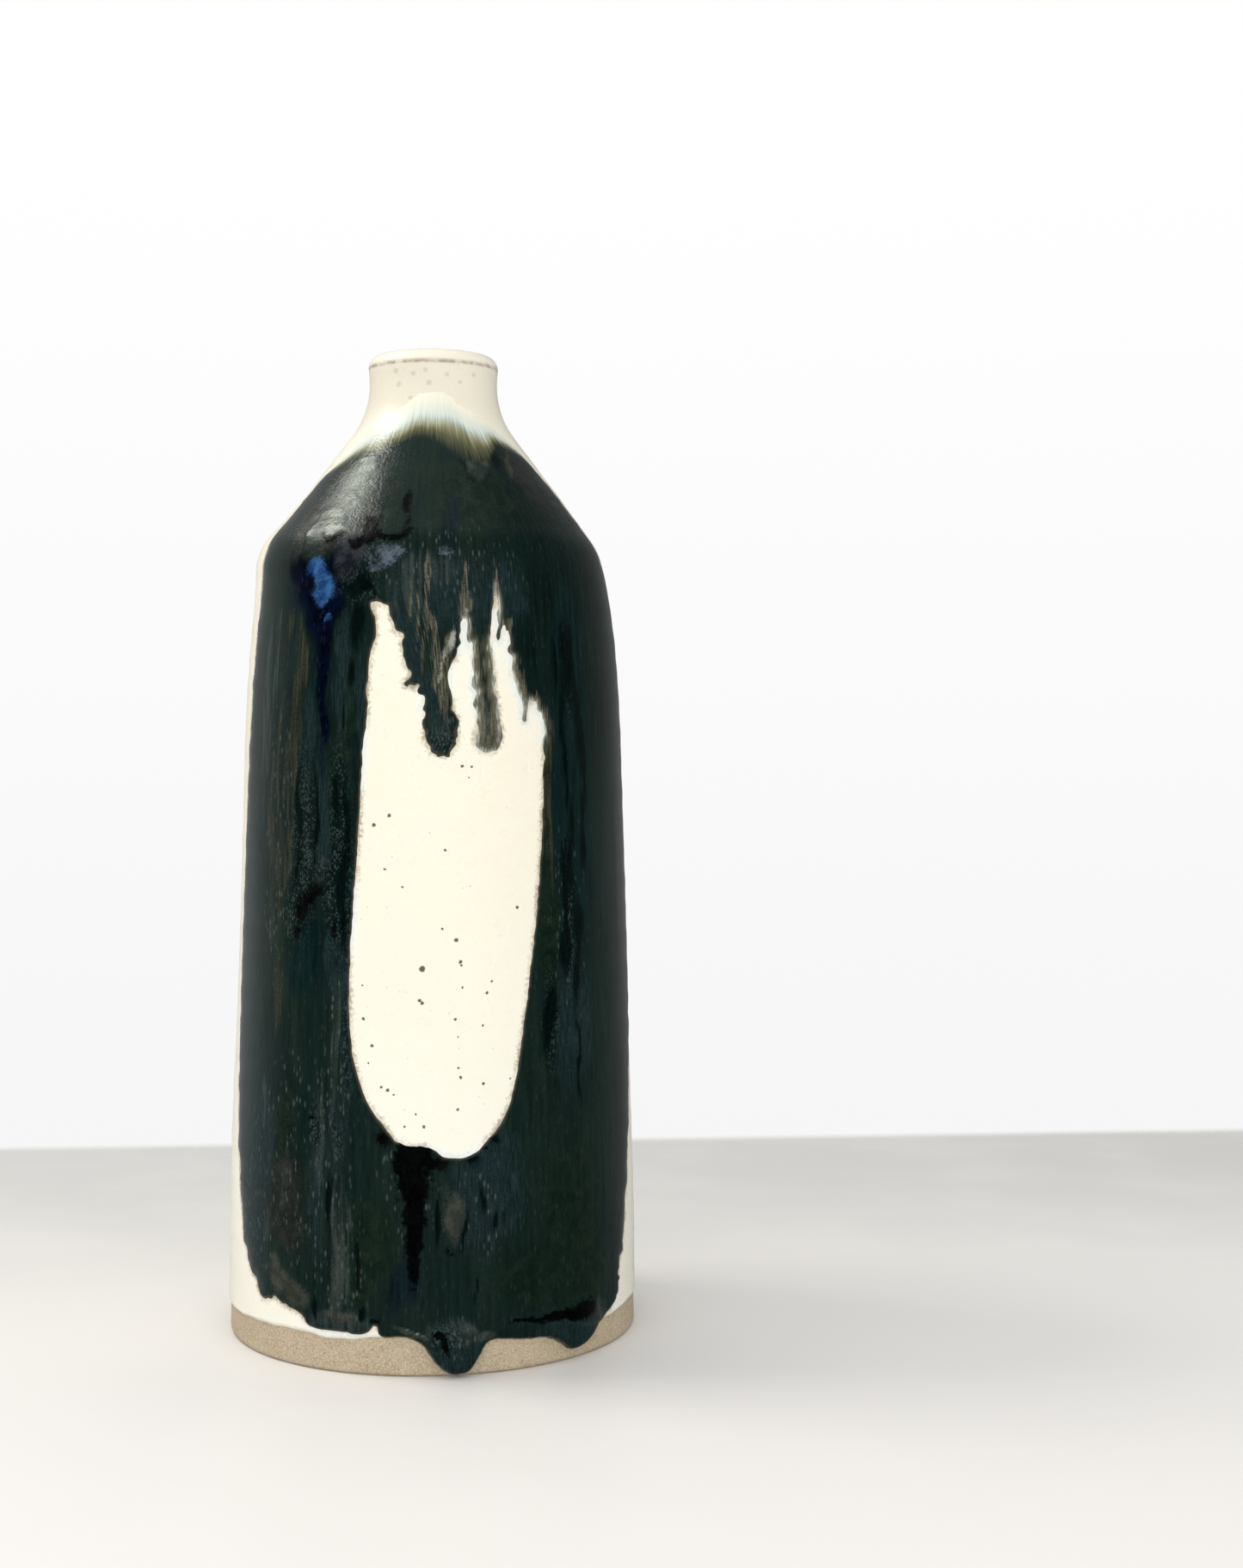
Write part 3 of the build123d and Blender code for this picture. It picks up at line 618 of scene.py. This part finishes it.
def make_dark():
    """The poured dark coat: a grid over the front, its edge moved onto the outline, with a back."""
    columns = spaced((-79, 0.7), (-66, 1.2), (-48, 0.75), (20, 0.6), (36, 1.0), (54, 1.2), (66, 0.9), (90, 1))
    rows = spaced((0.2, 0.45), (16, 0.9), (46, 0.7), (60, 0.9), (138, 0.6), (182, 0.8), (230, 1))
    theta, height = np.meshgrid(columns, rows)
    inside = dark_distance(theta, height)
    shift_theta, shift_height = np.zeros(theta.shape), np.zeros(theta.shape)
    nearest = np.full(theta.shape, 0.5)
    for axis, way in ((0, 1), (0, -1), (1, 1), (1, -1)):
        beside = np.roll(inside, -way, axis)
        crossing = np.where(inside * beside < 0, inside / np.where(inside == beside, 1, inside - beside), 9)
        closer = crossing < nearest
        nearest = np.where(closer, crossing, nearest)
        shift_theta = np.where(closer, crossing * (np.roll(theta, -way, axis) - theta), shift_theta)
        shift_height = np.where(closer, crossing * (np.roll(height, -way, axis) - height), shift_height)
    theta, height = theta + shift_theta, height + shift_height
    snapped = nearest < 0.5
    sign = np.where(snapped, 0, np.sign(inside)).ravel()

    index = np.arange(theta.size).reshape(theta.shape)
    quads = np.stack([index[:-1, :-1], index[:-1, 1:], index[1:, 1:], index[1:, :-1]], -1).reshape(-1, 4)
    signs = sign[quads]
    whole = (signs >= 0).all(1) & (signs > 0).any(1)
    faces = quads[whole].tolist()
    for turn in range(4):
        corner = np.roll(quads, -turn, 1)
        marks = np.roll(signs, -turn, 1)
        half = (marks[:, 0] > 0) & (marks[:, 2] < 0) & (marks[:, 1] == 0) & (marks[:, 3] == 0)
        faces += corner[half][:, [3, 0, 1]].tolist()

    used = np.unique(np.concatenate([np.ravel(face) for face in faces]))
    renumber = np.full(theta.size, -1)
    renumber[used] = np.arange(len(used))
    faces = [[int(renumber[v]) for v in face] for face in faces]
    theta, height = theta.ravel()[used], height.ravel()[used]
    inside = np.where(sign[used] == 0, 0, np.maximum(dark_distance(theta, height), 0.02))

    bead = sum(thick * np.sqrt(np.clip(blot(theta, height, *shape), 0, 1)) for *shape, thick in BEADS)
    low = 1 - smooth(height, 14, 26)
    foot_side = low * smooth(theta, -16, -8)
    body = 0.42 * (1 - np.exp(-inside / 1.4)) + 0.1 * smooth(inside, 0.5, 4)
    rim = np.sqrt(1 - (1 - np.clip(inside / 1.3, 0, 1)) ** 2)
    thick = body * (1 - foot_side) + foot_side * rim * (0.75 + bead)
    thick *= 1 - 0.7 * (1 - smooth(top_fringe(theta, height), 0, 1.2))
    points = to_metres(theta, outside_radius(height), height) / MM
    thick += 0.05 * (hash_noise(points * [1, 1, 0.15], 3.0, 21) - 0.5) * smooth(inside, 0.3, 2)

    base = cream_lift(theta, height)
    length = outside_length(height)
    top = on_path(theta, length, base + thick)
    under = on_path(theta, length, base - 0.3)
    count = len(used)
    directed = set()
    for face in faces:
        directed.update(zip(face, face[1:] + face[:1]))
    rim_edges = [(a, b) for a, b in directed if (b, a) not in directed]
    walls = [[b, a, a + count, b + count] for a, b in rim_edges]
    backs = [[v + count for v in face[::-1]] for face in faces]
    drawn = 7 * (1 - smooth(height, 148, 186)) * bell(theta, -4, 9) * smooth(height, 138, 146)
    flow = np.stack([np.radians(theta - drawn) * FLOW_RADIUS, length, 0 * theta], -1)
    attributes = {"flow": flow, "edge": inside, "fringe": top_fringe(theta, height)}
    sway = hash_noise(points * [1, 1, 0.3], 2.2, 31) - 0.5
    spill = hash_noise(points * [1, 1, 0.5], 2.6, 32) - 0.5
    swayed = theta + np.degrees(2.4 * sway / outside_radius(height))
    spilled = height + (1 + 2.4 * smooth(height, 14, 30)) * spill
    places = {name: paint[-1] for name, paint in PAINT.items()}
    places.update(mottle=MOTTLE, pepper=PEPPER, satin=SATIN, crinkle=CRINKLE, sheer=SHEER)
    for name, spots in places.items():
        empty = [1 - blot(swayed, spilled, *spot) for spot in spots]
        attributes[name] = 1 - np.prod(empty, 0)
    attributes = {key: np.concatenate([values, values]) for key, values in attributes.items()}
    points = np.concatenate([top, under])
    return make_object("dark_coat", points, faces + walls + backs, attributes, rim_edges)


# ---------------------------------------------------------------- materials

class Shader:
    """A node material, with short calls that each add a node and return its output."""

    def __init__(self, name):
        self.material = bpy.data.materials.new(name)
        self.material.use_nodes = True
        self.tree = self.material.node_tree
        self.surface = self.tree.nodes["Principled BSDF"]

    def feed(self, socket, value):
        if isinstance(value, bpy.types.NodeSocket):
            self.tree.links.new(value, socket)
        elif isinstance(value, tuple) and len(value) == 3 and socket.type == "RGBA":
            socket.default_value = (*value, 1)
        else:
            socket.default_value = value

    def attribute(self, name, vector=False):
        node = self.tree.nodes.new("ShaderNodeAttribute")
        node.attribute_name = name
        return node.outputs["Vector" if vector else "Fac"]

    def position(self):
        """Position in millimetres."""
        node = self.tree.nodes.new("ShaderNodeTexCoord")
        return self.scaled(node.outputs["Object"], (1000, 1000, 1000))

    def scaled(self, vector, scale):
        node = self.tree.nodes.new("ShaderNodeVectorMath")
        node.operation = "MULTIPLY"
        self.feed(node.inputs[0], vector)
        node.inputs[1].default_value = scale
        return node.outputs[0]

    def noise(self, vector, scale=1.0, detail=2.0, distortion=0.0):
        node = self.tree.nodes.new("ShaderNodeTexNoise")
        self.feed(node.inputs["Vector"], vector)
        node.inputs["Scale"].default_value = scale
        node.inputs["Detail"].default_value = detail
        node.inputs["Distortion"].default_value = distortion
        return node.outputs["Fac"]

    def cells(self, vector, scale):
        """Distance to the nearest of scattered points, and a number from 0 to 1 for each of them."""
        node = self.tree.nodes.new("ShaderNodeTexVoronoi")
        self.feed(node.inputs["Vector"], vector)
        node.inputs["Scale"].default_value = scale
        split = self.tree.nodes.new("ShaderNodeSeparateXYZ")
        self.feed(split.inputs[0], node.outputs["Color"])
        return node.outputs["Distance"], split.outputs[0]

    def math(self, operation, a, b=0.0):
        node = self.tree.nodes.new("ShaderNodeMath")
        node.operation = operation
        self.feed(node.inputs[0], a)
        self.feed(node.inputs[1], b)
        return node.outputs[0]

    def times(self, a, b):
        return self.math("MULTIPLY", a, b)

    def plus(self, a, b):
        return self.math("ADD", a, b)

    def minus(self, a, b):
        return self.math("SUBTRACT", a, b)

    def distance(self, a, point):
        node = self.tree.nodes.new("ShaderNodeVectorMath")
        node.operation = "DISTANCE"
        self.feed(node.inputs[0], a)
        node.inputs[1].default_value = point
        return node.outputs["Value"]

    def step(self, value, low, high, start=0.0, end=1.0):
        """start below low, end above high, smooth between."""
        node = self.tree.nodes.new("ShaderNodeMapRange")
        node.interpolation_type = "SMOOTHSTEP"
        self.feed(node.inputs["Value"], value)
        node.inputs["From Min"].default_value = low
        node.inputs["From Max"].default_value = high
        node.inputs["To Min"].default_value = start
        node.inputs["To Max"].default_value = end
        return node.outputs["Result"]

    def mix(self, factor, a, b):
        node = self.tree.nodes.new("ShaderNodeMix")
        node.data_type = "RGBA"
        self.feed(node.inputs["Factor"], factor)
        self.feed(node.inputs[6], a)
        self.feed(node.inputs[7], b)
        return node.outputs[2]

    def ragged(self, mask, noise, amount=0.5, soft=0.12):
        """A mask whose edge follows the noise, still 0 where the mask is 0 and 1 where it is 1."""
        between = self.times(mask, self.minus(1.0, mask))
        moved = self.times(self.minus(noise, 0.5), self.times(between, 4 * amount))
        return self.step(self.plus(mask, moved), 0.5 - soft, 0.5 + soft)

    def spread(self, noise):
        """Noise stretched to run from about 0 to about 1."""
        return self.times(self.minus(noise, 0.3), 2.5)

    def bump(self, height, distance, strength=1.0):
        node = self.tree.nodes.new("ShaderNodeBump")
        node.inputs["Distance"].default_value = distance
        node.inputs["Strength"].default_value = strength
        self.feed(node.inputs["Height"], height)
        self.feed(self.surface.inputs["Normal"], node.outputs["Normal"])

    def finish(self, colour, roughness):
        self.feed(self.surface.inputs["Base Color"], colour)
        self.feed(self.surface.inputs["Roughness"], roughness)
        return self.material


CREAM = (0.81, 0.776, 0.635)

# Iron specks in the cream: (angle, height, size)
SPECKS = [
    (-3.3, 92.5, 0.62), (-4.0, 85.4, 0.35), (-3.3, 84.8, 0.4), (6, 99, 0.42), (2.2, 101.6, 0.28),
    (7.1, 94, 0.36), (7.3, 93.2, 0.25), (-12.6, 127.2, 0.36), (-17, 125, 0.42), (3, 119.4, 0.3),
    (-8.8, 111, 0.24), (-13.8, 115, 0.26), (23.6, 106, 0.32), (15.8, 89.4, 0.26), (14.4, 86.8, 0.32),
    (7.6, 88.2, 0.22), (5.6, 81, 0.3), (13.2, 79.4, 0.24), (-17, 75, 0.34), (6.4, 77, 0.2), (-18, 71, 0.2),
    (6.4, 70, 0.24), (-12.6, 65, 0.34), (-14.4, 65.6, 0.26), (7, 67.8, 0.32), (13.2, 66.2, 0.3),
    (-11, 64, 0.24), (20.8, 67, 0.2), (6.2, 60.6, 0.28), (-5, 59.6, 0.24), (-8, 56.8, 0.26),
    (-2.8, 56.8, 0.34), (7.9, 138.4, 0.32), (10.6, 138.2, 0.26), (9.8, 135.8, 0.18), (-19.6, 81, 0.34),
    (-20, 88.6, 0.2), (-32, 229.4, 0.6), (-18, 231.8, 0.55), (-35, 232.6, 0.6), (-4, 229.6, 0.6),
    (-7, 232.6, 0.5), (12, 231.6, 0.5), (-20, 226, 0.5), (24, 230, 0.45), (38, 232, 0.5),
]


def cream_material():
    sh = Shader("cream_glaze")
    place = sh.position()
    broad = sh.noise(place, 0.035, 3)
    cloud = sh.noise(place, 0.16, 4)
    fine = sh.noise(place, 1.4, 4)
    colour = sh.mix(sh.step(broad, 0.35, 0.7), CREAM, (0.82, 0.785, 0.655))
    colour = sh.mix(sh.step(cloud, 0.5, 0.75, 0, 0.35), colour, (0.81, 0.745, 0.59))
    colour = sh.mix(sh.step(fine, 0.5, 0.72, 0, 0.16), colour, (0.68, 0.58, 0.44))
    gap, _ = sh.cells(place, 0.42)
    small = sh.times(sh.step(gap, 0.06, 0.10, 1, 0), sh.step(sh.noise(place, 0.11, 1), 0.50, 0.60))
    colour = sh.mix(sh.times(small, 0.55), colour, (0.20, 0.14, 0.09))
    wavy = sh.tree.nodes.new("ShaderNodeVectorMath")
    wavy.operation = "MULTIPLY_ADD"
    jitter = sh.tree.nodes.new("ShaderNodeTexNoise")
    sh.feed(jitter.inputs["Vector"], place)
    jitter.inputs["Scale"].default_value = 1.6
    sh.feed(wavy.inputs[0], jitter.outputs["Color"])
    wavy.inputs[1].default_value = (0.5, 0.5, 0.5)
    sh.feed(wavy.inputs[2], place)
    specks = None
    for theta, height, size in SPECKS:
        x, y, z = to_metres(np.array(theta), outside_radius(height), np.array(height)) / MM + 0.25
        spot = sh.step(sh.distance(wavy.outputs[0], (x, y, z)), size * 0.8, size * 1.45, 1, 0)
        specks = spot if specks is None else sh.math("MAXIMUM", specks, spot)
    up = sh.tree.nodes.new("ShaderNodeSeparateXYZ")
    sh.feed(up.inputs[0], place)
    colour = sh.mix(sh.step(up.outputs["Z"], 40, 150, 0.5, 0), colour, (0.84, 0.83, 0.75))
    neck = sh.times(sh.step(up.outputs["Z"], 215, 227), sh.step(up.outputs["Z"], 233, 236, 1, 0.2))
    # Painted shade: the neck band is tinted a darker warm grey, most on its left (-X) side and less towards
    # +X. This is partly the glaze's own warmer tone at the neck and partly shade painted into the colour.
    neck_tone_and_painted_shade = sh.times(neck, sh.step(up.outputs["X"], -16, 8, 1.0, 0.6))
    colour = sh.mix(neck_tone_and_painted_shade, colour, (0.68, 0.64, 0.525))
    specks = sh.times(specks, sh.minus(0.92, sh.times(neck, 0.74)))
    colour = sh.mix(specks, colour, (0.07, 0.045, 0.03))
    edge = sh.attribute("edge")
    frayed = sh.plus(edge, sh.times(sh.minus(fine, 0.5), 3.0))
    halo = sh.times(sh.attribute("halo"), sh.step(frayed, -2.6, -0.2))
    colour = sh.mix(sh.times(halo, 0.65), colour, (0.72, 0.80, 0.81))
    stain = sh.times(sh.step(frayed, -1.3, 0.1), sh.step(cloud, 0.35, 0.6, 0.35, 0.85))
    stain = sh.times(stain, sh.step(sh.attribute("halo"), 0.1, 0.6, 1, 0.25))
    colour = sh.mix(stain, colour, (0.30, 0.24, 0.16))
    rim = sh.times(sh.attribute("rim"), sh.step(sh.noise(place, 0.5, 3), 0.32, 0.6, 0.35, 1))
    colour = sh.mix(sh.times(rim, 0.8), colour, (0.16, 0.10, 0.06))
    sh.bump(sh.plus(fine, sh.times(cloud, 2.0)), 0.00004)
    return sh.finish(colour, sh.step(cloud, 0.3, 0.7, 0.26, 0.38))


def liner_material():
    sh = Shader("liner_glaze")
    place = sh.position()
    cloud = sh.noise(place, 0.12, 3)
    colour = sh.mix(sh.step(cloud, 0.4, 0.7), (0.74, 0.69, 0.58), (0.70, 0.63, 0.50))
    gap, _ = sh.cells(place, 0.25)
    colour = sh.mix(sh.step(gap, 0.05, 0.1, 0.6, 0), colour, (0.15, 0.10, 0.07))
    sh.bump(sh.noise(place, 0.8, 2), 0.00003)
    return sh.finish(colour, 0.22)


def clay_material():
    sh = Shader("bare_clay")
    place = sh.position()
    sand = sh.noise(place, 2.6, 4)
    patch = sh.noise(place, 0.12, 3)
    colour = sh.mix(sh.step(patch, 0.35, 0.7), (0.375, 0.297, 0.195), (0.42, 0.338, 0.228))
    colour = sh.mix(sh.step(sand, 0.42, 0.66), colour, (0.53, 0.45, 0.33))
    gap, _ = sh.cells(place, 1.1)
    dark = sh.times(sh.step(gap, 0.12, 0.28, 1, 0), sh.step(sh.noise(place, 0.7, 2), 0.45, 0.6))
    colour = sh.mix(sh.times(dark, 0.6), colour, (0.17, 0.125, 0.085))
    sh.bump(sh.plus(sand, sh.step(gap, 0.05, 0.4)), 0.00012)
    return sh.finish(colour, sh.step(sand, 0.3, 0.7, 0.92, 0.78))


def speckled(sh, colour, pebble, dash):
    """The colour with its salt-and-pepper and its pale dashes."""
    pepper = sh.attribute("pepper")
    colour = sh.mix(sh.times(pepper, sh.step(pebble, 0, 0.5, 0.7, 0)), colour, (0.0010, 0.0056, 0.0046))
    colour = sh.mix(sh.times(pepper, sh.times(pebble, 0.75)), colour, (0.040, 0.060, 0.057))
    fleck = sh.times(dash, sh.step(sh.attribute("mottle"), 0.0, 0.8, 0.1, 0.7))
    return sh.mix(fleck, colour, (0.068, 0.088, 0.084))


def dark_material():
    sh = Shader("dark_glaze")
    flow = sh.attribute("flow", vector=True)
    place = sh.position()
    noises = {
        "streak": sh.spread(sh.noise(sh.scaled(flow, (1.0, 0.07, 1)), 1.0, 4, 0.4)),
        "thread": sh.spread(sh.noise(sh.scaled(flow, (2.8, 0.22, 1)), 1.0, 3, 0.3)),
        "dash": sh.spread(sh.noise(sh.scaled(flow, (2.3, 0.8, 1)), 1.0, 2)),
        "curd": sh.spread(sh.noise(place, 0.55, 5, 0.5)),
        "cloud": sh.spread(sh.noise(place, 0.28, 3, 0.6)),
        "grain": sh.spread(sh.noise(place, 1.7, 3)),
    }
    broad = sh.spread(sh.noise(sh.scaled(flow, (0.14, 0.018, 1)), 1.0, 3))
    grain = noises["grain"]
    gap, pick = sh.cells(sh.scaled(place, (1, 1, 0.75)), 2.0)
    pebble = sh.times(sh.step(gap, 0.25, 0.66, 1, 0), sh.step(pick, 0.15, 0.8))
    gap, pick = sh.cells(sh.scaled(flow, (1, 0.32, 1)), 1.2)
    dash = sh.times(sh.step(gap, 0.10, 0.42, 1, 0), sh.step(pick, 0.3, 0.85))
    edge = sh.attribute("edge")

    tone = sh.plus(sh.times(noises["streak"], 0.55), sh.times(noises["thread"], 0.25))
    tone = sh.plus(tone, sh.times(grain, 0.2))
    deep = sh.mix(sh.step(broad, 0.2, 0.8), (0.0022, 0.0082, 0.0076), (0.0034, 0.0104, 0.0080))
    pale = sh.mix(sh.step(broad, 0.2, 0.8), (0.0078, 0.0190, 0.0170), (0.0110, 0.0225, 0.0170))
    colour = sh.mix(sh.step(tone, -0.1, 1.2), deep, pale)
    gloss = 0.5
    for name, (dark, light, noise, amount, soft, strength, _) in PAINT.items():
        mask = sh.ragged(sh.attribute(name), noises[noise], amount, soft)
        if name in ("blue", "lavender", "pale"):
            mask = sh.times(mask, mask)
        if name in ("navy", "soot", "black"):
            gloss = sh.minus(gloss, sh.times(mask, 0.3))
        inner = noises["cloud" if noise == "grain" else noise]
        shade = sh.plus(sh.times(inner, 0.75), sh.times(grain, 0.25))
        if name == "soot":
            colour = speckled(sh, colour, pebble, dash)
        paint = sh.mix(sh.step(shade, 0.2, 0.85), dark, light)
        colour = sh.mix(sh.times(mask, strength), colour, paint)

    jagged = sh.times(sh.minus(noises["thread"], 0.5), 0.05)
    jagged = sh.plus(jagged, sh.times(sh.minus(noises["streak"], 0.5), 0.18))
    fringe = sh.plus(sh.attribute("fringe"), jagged)
    colour = sh.mix(sh.step(fringe, 0.75, 1.08, 1, 0), colour, (0.085, 0.085, 0.042))
    colour = sh.mix(sh.step(fringe, 0.60, 0.82, 0.8, 0), colour, (0.270, 0.258, 0.145))
    colour = sh.mix(sh.step(fringe, 0.36, 0.68, 1, 0), colour, (0.56, 0.64, 0.60))
    colour = sh.mix(sh.step(fringe, 0.0, 0.52, 1, 0), colour, CREAM)
    sheer = sh.attribute("sheer")
    worn = sh.plus(edge, sh.times(sh.minus(noises["thread"], 0.5), 1.6))
    colour = sh.mix(sh.times(sheer, sh.step(worn, 0.3, 2.2, 0.6, 0)), colour, (0.150, 0.135, 0.092))
    colour = sh.mix(sh.times(sheer, sh.step(worn, -0.1, 0.8, 0.85, 0)), colour, (0.46, 0.49, 0.44))
    rim = sh.times(sh.step(edge, 0.1, 0.7, 1, 0), sh.step(fringe, 1.1, 1.5))
    rim = sh.times(rim, sh.step(sheer, 0.1, 0.5, 1, 0))
    rim = sh.times(rim, sh.step(sh.attribute("black"), 0.2, 0.6, 1, 0))
    colour = sh.mix(sh.times(rim, 0.6), colour, (0.080, 0.066, 0.045))
    relief = sh.plus(sh.times(noises["streak"], 0.5), grain)
    ripple = sh.attribute("crinkle")
    crinkle = sh.times(ripple, sh.noise(place, 0.40, 1))
    relief = sh.times(relief, sh.step(ripple, 0, 1, 1, 0.5))
    sh.bump(sh.plus(relief, sh.times(crinkle, 7.0)), 0.00003)
    sh.surface.inputs["Specular Tint"].default_value = (0.86, 1.0, 0.92, 1)
    sh.feed(sh.surface.inputs["Specular IOR Level"], sh.math("MAXIMUM", gloss, 0.15))
    rough = sh.plus(sh.step(sh.attribute("mottle"), 0.2, 1.0, 0.17, 0.24), sh.step(grain, 0.4, 1.0, 0, 0.08))
    satin = sh.times(sh.attribute("satin"), sh.step(noises["cloud"], 0.2, 0.8, 0.06, 0.16))
    rough = sh.plus(rough, satin)
    return sh.finish(colour, rough)


# ---------------------------------------------------------------- the vase

for make, material, node, slot in (
    (make_clay, clay_material, "stoneware_body", "bare_clay"),
    (make_cream, cream_material, "cream_glaze", "cream_glaze"),
    (make_liner, liner_material, "liner_glaze", "liner_glaze"),
    (make_dark, dark_material, "dark_glaze", "dark_glaze"),
):
    piece = make()
    piece.data.materials.append(material())
    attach(piece, "root")
    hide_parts(node)

# ---------------------------------------------------------------- table, room and light

def make_table():
    """A pale table top, darker towards its far edge with painted shade, whose far edge fades into the white
    room.
    """
    far, near, side = 0.236, -1.6, 1.6
    mesh = bpy.data.meshes.new("table")
    mesh.from_pydata([(-side, near, 0), (side, near, 0), (side, far, 0), (-side, far, 0)], [], [(0, 1, 2, 3)])
    table = bpy.data.objects.new("table", mesh)
    bpy.context.scene.collection.objects.link(table)
    sh = Shader("table")
    place = sh.position()
    split = sh.tree.nodes.new("ShaderNodeSeparateXYZ")
    sh.feed(split.inputs[0], place)
    depth = split.outputs["Y"]
    # Painted shade: the colour darkens from the near side to the far edge, standing in for the light falling
    # off across the table.
    colour = sh.mix(sh.step(depth, -90, 200), (0.83, 0.81, 0.785), (0.60, 0.595, 0.578))
    colour = sh.mix(sh.step(sh.noise(place, 0.02, 3), 0.4, 0.7, 0, 0.2), colour, (0.79, 0.775, 0.75))
    material = sh.finish(colour, 0.45)
    clear = sh.tree.nodes.new("ShaderNodeBsdfTransparent")
    blend = sh.tree.nodes.new("ShaderNodeMixShader")
    sh.feed(blend.inputs[0], sh.step(depth, far / MM - 14, far / MM))
    sh.tree.links.new(sh.surface.outputs[0], blend.inputs[1])
    sh.tree.links.new(clear.outputs[0], blend.inputs[2])
    sh.tree.links.new(blend.outputs[0], sh.tree.nodes["Material Output"].inputs["Surface"])
    mesh.materials.append(material)
    table.visible_glossy = False


def make_room():
    """A white room. What the glazes mirror of it is darker on the camera's side, as behind a camera."""
    world = bpy.data.worlds.new("room")
    bpy.context.scene.world = world
    world.use_nodes = True
    nodes, links = world.node_tree.nodes, world.node_tree.links
    direction = nodes.new("ShaderNodeTexCoord")
    split = nodes.new("ShaderNodeSeparateXYZ")
    links.new(direction.outputs["Generated"], split.inputs[0])
    seen = nodes.new("ShaderNodeLightPath")

    def ramp(axis, low, high, start, end):
        node = nodes.new("ShaderNodeMapRange")
        node.interpolation_type = "SMOOTHSTEP"
        for key, value in zip(("From Min", "From Max", "To Min", "To Max"), (low, high, start, end)):
            node.inputs[key].default_value = value
        links.new(split.outputs[axis], node.inputs["Value"])
        return node.outputs["Result"]

    def pick(ray, otherwise, value):
        node = nodes.new("ShaderNodeMix")
        links.new(seen.outputs[ray], node.inputs[0])
        links.new(otherwise, node.inputs[2])
        links.new(value, node.inputs[3])
        return node.outputs[0]

    def join(operation, a, b):
        node = nodes.new("ShaderNodeMath")
        node.operation = operation
        links.new(a, node.inputs[0])
        links.new(b, node.inputs[1])
        return node.outputs[0]

    light = ramp("X", -1.0, 1.0, 1.10, 0.85)
    mirrored = join("MULTIPLY", ramp("Y", -0.3, 1.0, 0.004, 0.34), ramp("X", -0.9, 0.9, 1.3, 0.55))
    mirrored = join("ADD", mirrored, ramp("Z", 0.8, 1.0, 0.0, 0.22))
    wall = ramp("Z", -0.22, 0.3, 0.925, 1.0)
    strength = pick("Is Camera Ray", pick("Is Glossy Ray", light, mirrored), wall)
    links.new(strength, nodes["Background"].inputs["Strength"])
    nodes["Background"].inputs["Color"].default_value = (1, 1, 1, 1)


def add_area(name, direction, distance, size, power, colour=(1, 1, 1), mirrored=True):
    """A soft light that faces the middle of the vase."""
    lamp = bpy.data.lights.new(name, "AREA")
    lamp.shape = "RECTANGLE"
    lamp.size, lamp.size_y = size
    lamp.energy = power
    lamp.color = colour
    light = bpy.data.objects.new(name, lamp)
    bpy.context.scene.collection.objects.link(light)
    offset = Vector(direction).normalized() * distance
    light.location = offset + Vector((0, 0, 0.12))
    light.rotation_euler = offset.to_track_quat("Z", "Y").to_euler()
    light.visible_glossy = mirrored


make_table()
make_room()
add_area("window_light", (-0.59, 0.15, 0.79), 1.0, (0.34, 0.30), 3.8, (1.0, 0.95, 0.88))
add_area("front_fill", (0.06, -1.0, -0.02), 1.3, (1.2, 0.8), 10.5, mirrored=False)
